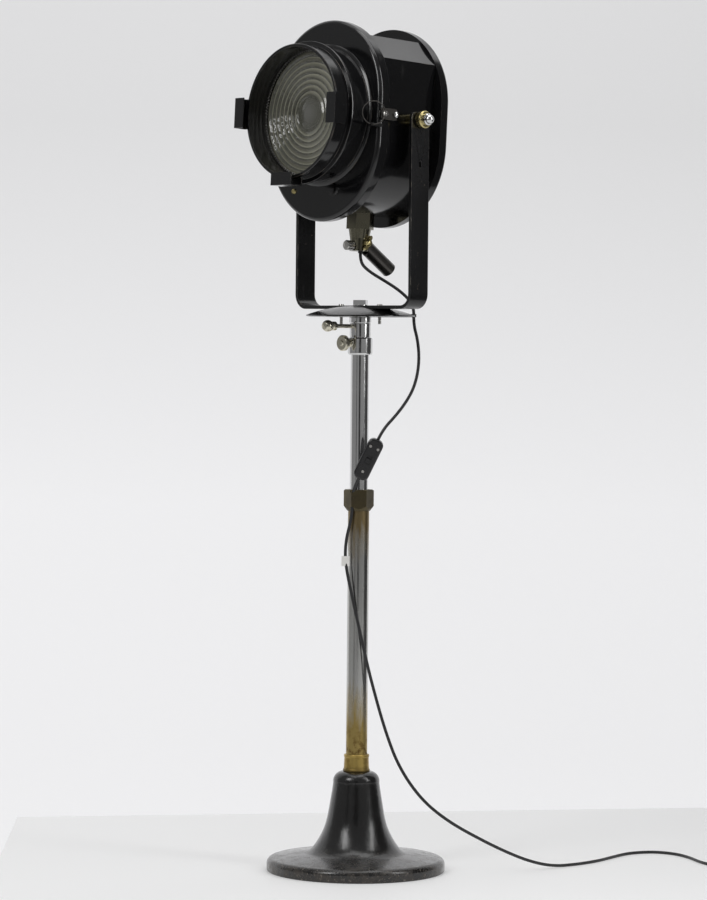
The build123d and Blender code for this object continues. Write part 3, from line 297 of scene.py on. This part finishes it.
def cast_material(name, dust):
    """Old glossy black paint on cast iron: gently pitted, dusty and rusty only about the rim."""
    shade = Shade(name, (0.007, 0.0068, 0.0068), 0.17, Coat_Weight=0.3, Coat_Roughness=0.12)
    pits = shade.noise(95, 0.30, 0.72, detail=7, rough=0.7)
    shade.patch(shade.noise(14, 0.40, 0.80, detail=4), color=(0.011, 0.0105, 0.010), rough=0.27)
    specks = shade.noise(210, 0.70, 0.75, detail=5, rough=0.7)
    shade.patch(specks, color=(0.075, 0.065, 0.055), rough=0.6)
    if dust:
        rim = shade.along(2, 0.042, 0.010)
        rust = shade.maths("MULTIPLY", rim, shade.noise(48, 0.46, 0.70, detail=7, rough=0.72))
        shade.patch(rust, color=(0.050, 0.040, 0.031), rough=0.6)
        grit = shade.maths("MULTIPLY", rim, shade.noise(260, 0.57, 0.68, detail=5, rough=0.7))
        shade.patch(grit, color=(0.21, 0.18, 0.15), rough=0.85)
    shade.bump(pits, 0.0007, 0.28)
    shade.bump(shade.noise(500, detail=4), 0.0002, 0.25)
    return shade.material


def lens_material():
    """Pressed glass: warm grey-green and half clear, with a painted highlight on each of its ring ridges.
    """
    shade = Shade(
        "lens_glass",
        (0.13, 0.13, 0.10),
        0.12,
        Transmission_Weight=0.45,
        IOR=1.5,
        Coat_Weight=0.5,
        Coat_Roughness=0.03,
    )
    radius = shade.from_axis(at_head(0, 0, LENS_RISE), BEAM)
    ridge = shade.spread(radius, LENS_BULL_EYE, LENS_EDGE, 0, LENS_RIDGES)
    slope = shade.node("ShaderNodeMath")
    slope.operation = "FRACT"
    shade.link(ridge, slope.inputs[0])
    # Painted highlight: a light band on each ring ridge that brightens outwards across the ridge.
    painted_ridge_highlight = shade.spread(slope.outputs[0], 0.25, 1.0)
    outside = shade.spread(radius, LENS_BULL_EYE, LENS_BULL_EYE + 0.0005)
    shade.patch(shade.maths("MULTIPLY", painted_ridge_highlight, outside), color=(0.60, 0.59, 0.47), rough=0.2)
    # Painted highlight: the middle of the bull's eye is painted a lighter grey that fades out towards its
    # edge.
    middle = shade.spread(radius, LENS_BULL_EYE, LENS_BULL_EYE * 0.2)
    shade.patch(middle, color=(0.20, 0.20, 0.18))
    shade.bump(shade.noise(90, detail=2), 0.0004, 0.12)
    return shade.material


BRONZE = bronze_material()
WORN_TUBE = lower_tube_material()
FERRULE = ferrule_material()
CAST_BASE = cast_material("cast_base", True)
CAST_SAUCER = cast_material("cast_saucer", False)
LENS = lens_material()

# ---------------------------------------------------------------- finishes of the CAD nodes


def dress(node, material, edge=None, bevel=0.0, angle=30):
    """Gives a CAD node its finish and softens its sharp edges. Worn edges have a finish of their own."""
    obj = nodes[node]
    obj.data.materials.clear()
    obj.data.materials.append(material)
    if edge:
        obj.data.materials.append(edge)
    weld = obj.modifiers.new("weld", "WELD")
    weld.merge_threshold = 0.00001
    if bevel:
        soft = obj.modifiers.new("edges", "BEVEL")
        soft.width = bevel / 1000
        soft.segments = 2
        soft.limit_method = "ANGLE"
        soft.angle_limit = radians(angle)
        soft.use_clamp_overlap = True
        if edge:
            soft.material = 1
    even = obj.modifiers.new("normals", "WEIGHTED_NORMAL")
    even.keep_sharp = True
    for face in obj.data.polygons:
        face.use_smooth = True
    return obj


for name in ("body_shell", "front_frame", "rear_cover", "door_bezel", "hinge_body_leaf", "hinge_door_leaf"):
    dress(name, BLACK, BLACK_EDGE, 0.5)
dress("frame_clips", BLACK, BLACK_EDGE, 0.35)
dress("latch_lug", YOKE, YOKE_EDGE, 0.4)
dress("yoke", YOKE, YOKE_EDGE, 0.5)
dress("saucer", CAST_SAUCER, None, 0.6)
dress("cast_base", CAST_BASE, None, 0.6)
dress("clamp_nut", BRONZE, None, 0.5)
dress("ferrule", FERRULE, None, 0.3)
dress("lower_tube", WORN_TUBE)
dress("upper_tube", CHROME)
for name in ("mast_collar", "swivel_sleeve", "yoke_bolt", "acorn_nuts", "latch_tip"):
    dress(name, CHROME, None, 0.4)
for name in ("collar_screw", "swivel_screw"):
    dress(name, SCREW_HUB, None, 0.5)
for name in ("tilt_spacers", "tilt_knob_right", "tilt_knob_left", "wing_screw", "bezel_screw", "plug_pins"):
    dress(name, BRASS, None, 0.4)
for name in (
    "tilt_bolts",
    "rear_screws",
    "strap_screws",
    "focus_rails",
    "focus_screw",
    "lamp_tray",
    "hinge_pin",
    "latch_pivot",
    "side_screw",
    "switch_screws",
):
    dress(name, STEEL, None, 0.3)
dress("handle_socket", SOCKET, None, 0.5)
for name in ("handle_tube", "latch_lever", "latch_ring"):
    dress(name, DARK_STEEL, None, 0.5)
for name in ("switch_front", "switch_back", "switch_slider", "plug_body", "focus_knob"):
    dress(name, PLASTIC, None, 0.4)
dress("cord_grommet", RUBBER, None, 0.3)
dress("cord_tie", RUBBER, None, 0.3)
dress("cord_tag", CARD)
dress("lampholder", CERAMIC, None, 0.6)
dress("reflector", MIRROR)
dress("bulb", BULB)
dress("lens_barrel", BLACK, BLACK_EDGE, 0.4)
dress("lens", LENS)

# ---------------------------------------------------------------- mesh helpers


def add_mesh(name, verts, faces, material, smooth=True):
    mesh = bpy.data.meshes.new(name)
    mesh.from_pydata([tuple(v) for v in verts], [], faces)
    mesh.validate()
    mesh.materials.append(material)
    for face in mesh.polygons:
        face.use_smooth = smooth
    obj = bpy.data.objects.new(name, mesh)
    scene.collection.objects.link(obj)
    return obj


def frames_along(points, closed=False):
    """Directions across a line at each of its points, turning as little as they can."""
    count = len(points)
    across = None
    result = []
    for i, point in enumerate(points):
        before = points[i - 1] if closed or i else points[0]
        after = points[(i + 1) % count] if closed or i < count - 1 else points[-1]
        along = (after - before).normalized()
        if across is None:
            across = along.orthogonal().normalized()
        across = (across - along * across.dot(along)).normalized()
        result.append((point, across, along.cross(across)))
    return result


def tube(name, points, section, material, closed=False):
    """Sweeps a section, as (across, up) pairs in metres, along a line of points."""
    verts = []
    for point, across, up in frames_along(points, closed):
        verts.extend(point + across * a + up * b for a, b in section)
    side = len(section)
    rings = len(points)
    faces = []
    for i in range(rings if closed else rings - 1):
        here = i * side
        ahead = (i + 1) % rings * side
        for j in range(side):
            beside = (j + 1) % side
            faces.append((here + j, here + beside, ahead + beside, ahead + j))
    if not closed:
        faces.append(tuple(reversed(range(side))))
        faces.append(tuple((rings - 1) * side + j for j in range(side)))
    return add_mesh(name, verts, faces, material)


def circle(radius, sides=10):
    return [(radius * cos(2 * pi * i / sides), radius * sin(2 * pi * i / sides)) for i in range(sides)]


def smooth_line(route, spacing, close_up=()):
    """Reads evenly close points from a NURBS line over given points. close_up lists spans of
    height, as (low, high, spacing), that are read more finely."""
    data = bpy.data.curves.new("route", "CURVE")
    data.dimensions = "3D"
    data.resolution_u = 40
    spline = data.splines.new("NURBS")
    spline.points.add(len(route) - 1)
    for target, point in zip(spline.points, route):
        target.co = (point[0] / 1000, point[1] / 1000, point[2] / 1000, 1)
    spline.order_u = 3
    spline.use_endpoint_u = True
    holder = bpy.data.objects.new("route", data)
    scene.collection.objects.link(holder)
    bpy.context.view_layer.update()
    read = bpy.data.meshes.new_from_object(holder)
    line = [v.co.copy() for v in read.vertices]
    bpy.data.objects.remove(holder)
    bpy.data.meshes.remove(read)
    result = [line[0]]
    for point in line[1:]:
        step = spacing
        for low, high, fine in close_up:
            if low <= point.z <= high:
                step = fine
        while (point - result[-1]).length > step * 1.5:
            result.append(result[-1].lerp(point, step / (point - result[-1]).length))
        if (point - result[-1]).length >= step * 0.75:
            result.append(point)
    if (result[-1] - line[-1]).length < spacing * 0.5 and len(result) > 2:
        result.pop()
    result.append(line[-1])
    return result


# ---------------------------------------------------------------- cord

CORD_RADIUS = 0.0025
TWIN = []
for step in range(16):
    turn = 2 * pi * step / 16
    waist = 1 - 0.30 * abs(sin(turn)) ** 1.5 * (1 if abs(cos(turn)) < 0.75 else 0.6)
    TWIN.append((CORD_RADIUS * cos(turn), CORD_RADIUS * 0.86 * sin(turn) * waist))

head_exit = at_head(0, -9.5, -208) * 1000
head_run = -HEAD_UP
head_route = [
    tuple(head_exit),
    tuple(head_exit + head_run * 15),
    (7, 13.5, 957),
    (18, 34, 944),
    (26.5, 57, 930),
    (32.4, 74, 916),
    (35.2, 84.7, 902),
    (35.2, 84.7, 888),
]
head_points = smooth_line(head_route, 0.002)
cord_head = tube("head_flex", head_points, TWIN, RUBBER)
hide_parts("cord_head")
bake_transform(cord_head)

SWITCH_FOOT = Vector((19.7, -18.4, 627.6))
SWITCH_HEAD = Vector((44.6, -0.6, 690.0))
switch_run = (SWITCH_HEAD - SWITCH_FOOT).normalized()
drop_route = [
    (35.2, 84.7, 888),
    (35.2, 84.7, 873),
    (44.5, 84.6, 850),
    (54.6, 79, 822),
    (60.2, 70.4, 794),
    (63.6, 56.7, 768),
    (63, 39.3, 746),
    (59.2, 22.4, 727),
    tuple(SWITCH_HEAD + switch_run * 18),
    tuple(SWITCH_HEAD),
]
drop_points = smooth_line(drop_route, 0.002)
cord_drop = tube("drop_flex", drop_points, TWIN, RUBBER)
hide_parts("cord_drop")
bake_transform(cord_drop)

# The tail runs through the clamp nut, past the base and over the floor to its coil and plug.
tail_route = [
    tuple(SWITCH_FOOT - switch_run * 0.2),
    (6.2, -19.6, 609),
    (6.2, -19.6, 575),
    (3.3, -22.2, 553),
    (-2.5, -24.3, 530),
    (-4.4, -24.9, 503),
    (0.5, -24.2, 475),
    (7.8, -22, 446),
    (14.2, -18.5, 415),
    (19.5, -13.5, 384),
    (24, -7.4, 352),
    (28, -0.1, 318),
    (33.4, 7.1, 285),
    (40.9, 13.8, 250),
    (51.7, 19.8, 214),
    (66.3, 26.2, 177),
    (86, 37, 142),
    (106.5, 55.5, 110),
    (130, 86, 81),
    (153.5, 127.5, 54.5),
    (170.5, 171, 31.5),
    (181, 215, 13.5),
    (190.5, 258, 3),
    (197.5, 306, 2.5),
    (195, 358, 2.5),
    (181, 409, 2.5),
    (169, 461, 2.5),
    (186, 504, 2.5),
    (226, 514, 2.5),
    (268, 501, 2.5),
    (300, 483, 2.5),
    (332, 470, 2.5),
    (364, 471.5, 2.5),
]
# The coil winds inwards on the floor, climbs, and winds outwards again on top of itself.
COIL = (380, 508)
COIL_START = 285
COIL_OUTER = 35.3
COIL_INNER = 24.5
COIL_SPREAD = 10.8
COIL_LOW = 2.6
COIL_HIGH = 7.8
COIL_CLIMB = 5.2
COIL_STEP = 30
LAYER_STEPS = 36
CLIMB_FROM = 0.93
CLIMB_TO = 1.07
CLIMB_SHARE = 0.14
turns = []
for step in range(2 * LAYER_STEPS + 4):
    angle = radians(COIL_START + COIL_STEP * step)
    share = step / LAYER_STEPS
    if share < 1:
        radius, height = COIL_OUTER - COIL_SPREAD * share, COIL_LOW
    else:
        radius, height = COIL_INNER + COIL_SPREAD * (share - 1), COIL_HIGH
    if CLIMB_FROM < share < CLIMB_TO:
        height = COIL_LOW + COIL_CLIMB * (share - CLIMB_FROM) / CLIMB_SHARE
    turns.append((COIL[0] + radius * cos(angle), COIL[1] + radius * sin(angle), height))
tail_route += turns
tail_route += [(415.8, 512, 7.9), (415.4, 526, 7.8), (415.3, 540.5, 7.5)]
tail_points = smooth_line(tail_route, 0.003, ((0.604, 0.632, 0.0004),))
cord_tail = tube("tail_flex", tail_points, TWIN, RUBBER)
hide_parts("cord_tail", "cord_coil")
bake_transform(cord_tail)

# ---------------------------------------------------------------- spring ring that holds the lens

SPRING_CENTRE = at_head(0, 117, LENS_RISE)
SPRING_RADIUS = 0.0991
SPRING_WIND = 0.0018
SPRING_WIRE = 0.00042
SPRING_TURNS = 130
TURN_STEPS = 9
spring_points = []
for i in range(SPRING_TURNS * TURN_STEPS):
    around = 2 * pi * i / (SPRING_TURNS * TURN_STEPS)
    wind = 2 * pi * i / TURN_STEPS
    outward = Vector((1, 0, 0)) * cos(around) + HEAD_UP * sin(around)
    middle = SPRING_CENTRE + outward * SPRING_RADIUS
    spring_points.append(middle + outward * SPRING_WIND * cos(wind) + BEAM * SPRING_WIND * sin(wind))
spring = tube("lens_spring_coils", spring_points, circle(SPRING_WIRE, 5), STEEL, closed=True)
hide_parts("lens_spring")
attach(spring, "door")

# ---------------------------------------------------------------- room


def plane_mesh(name, corners, material):
    return add_mesh(name, corners, [tuple(range(len(corners)))], material, smooth=False)


def seen(side, distance, height=0.0):
    """A point by how far it is to the camera's right, and from the camera."""
    flat = Vector((CAMERA_SPOT.x, CAMERA_SPOT.y, 0)) + LOOK * distance + RIGHT * side
    return Vector((flat.x, flat.y, height))



def paper_material():
    """White paper on the floor, with a little light of its own."""
    shade = Shade("floor_paper", (0.72, 0.72, 0.72), 0.6, Emission_Strength=0.18)
    shade.set("Emission Color", (1, 1, 1, 1))
    return shade.material


def curtain_material():
    """A lit backdrop that is brighter low down."""
    shade = Shade("curtain", (0.35, 0.35, 0.36), 0.9, Emission_Strength=0.50)
    shade.set("Emission Color", (0.93, 0.93, 0.93, 1))
    shade.blend("Emission Color", shade.along(2, 1.3, 0.5), (1.24, 1.24, 1.25))
    return shade.material


PAPER = paper_material()
CURTAIN = curtain_material()

floor = plane_mesh(
    "floor",
    [seen(-0.5985, 6.07), seen(-0.44, 2.0), seen(2.5, 2.0), seen(2.8, 6.62)],
    PAPER,
)
below = plane_mesh(
    "ground",
    [seen(-8, 0.5, -0.35), seen(8, 0.5, -0.35), seen(8, 12, -0.35), seen(-8, 12, -0.35)],
    PAPER,
)
curtain = plane_mesh(
    "backdrop",
    [seen(-5, 7.2, -0.35), seen(5, 7.2, -0.35), seen(5, 7.2, 4.5), seen(-5, 7.2, 4.5)],
    CURTAIN,
)

world = bpy.data.worlds.new("studio")
world.use_nodes = True
world.node_tree.nodes["Background"].inputs[0].default_value = (1, 1, 1, 1)
world.node_tree.nodes["Background"].inputs[1].default_value = 0.26
scene.world = world


def softbox(name, spot, aim, width, height, power):
    data = bpy.data.lights.new(name, "AREA")
    data.shape = "RECTANGLE"
    data.size = width
    data.size_y = height
    data.energy = power
    light = bpy.data.objects.new(name, data)
    light.location = spot
    light.rotation_euler = (Vector(aim) - Vector(spot)).to_track_quat("-Z", "Y").to_euler()
    scene.collection.objects.link(light)
    return light


MIDDLE = Vector((0, 0, 0.9))
softbox("key", seen(-1.9, 3.4, 2.6), MIDDLE, 0.9, 1.9, 32)
softbox("fill", seen(2.2, 4.4, 1.9), MIDDLE, 0.7, 2.2, 26)
softbox("top", seen(0.2, 5.2, 3.4), MIDDLE, 2.4, 1.6, 26)
softbox("back", seen(0.3, 6.4, 3.2), seen(0, 7.2, 0.8), 4.0, 0.8, 8)

FLAG = Shade("dark_flag", (0.07, 0.07, 0.07), 0.9).material


def dark_flag(name, near, far):
    """An upright dark sheet beside the camera's view, for the metal and the paint to reflect."""
    low, high = Vector((0, 0, -0.3)), Vector((0, 0, 2.8))
    plane_mesh(name, [near + low, far + low, far + high, near + high], FLAG)


dark_flag("flag_left", seen(-2.95, 2.2), seen(-2.25, 2.2))
dark_flag("flag_camera", seen(-1.2, -1.2), seen(1.2, -1.2))
dark_flag("flag_right", seen(1.5, 4.9), seen(1.5, 6.3))

scene.view_settings.view_transform = "Standard"
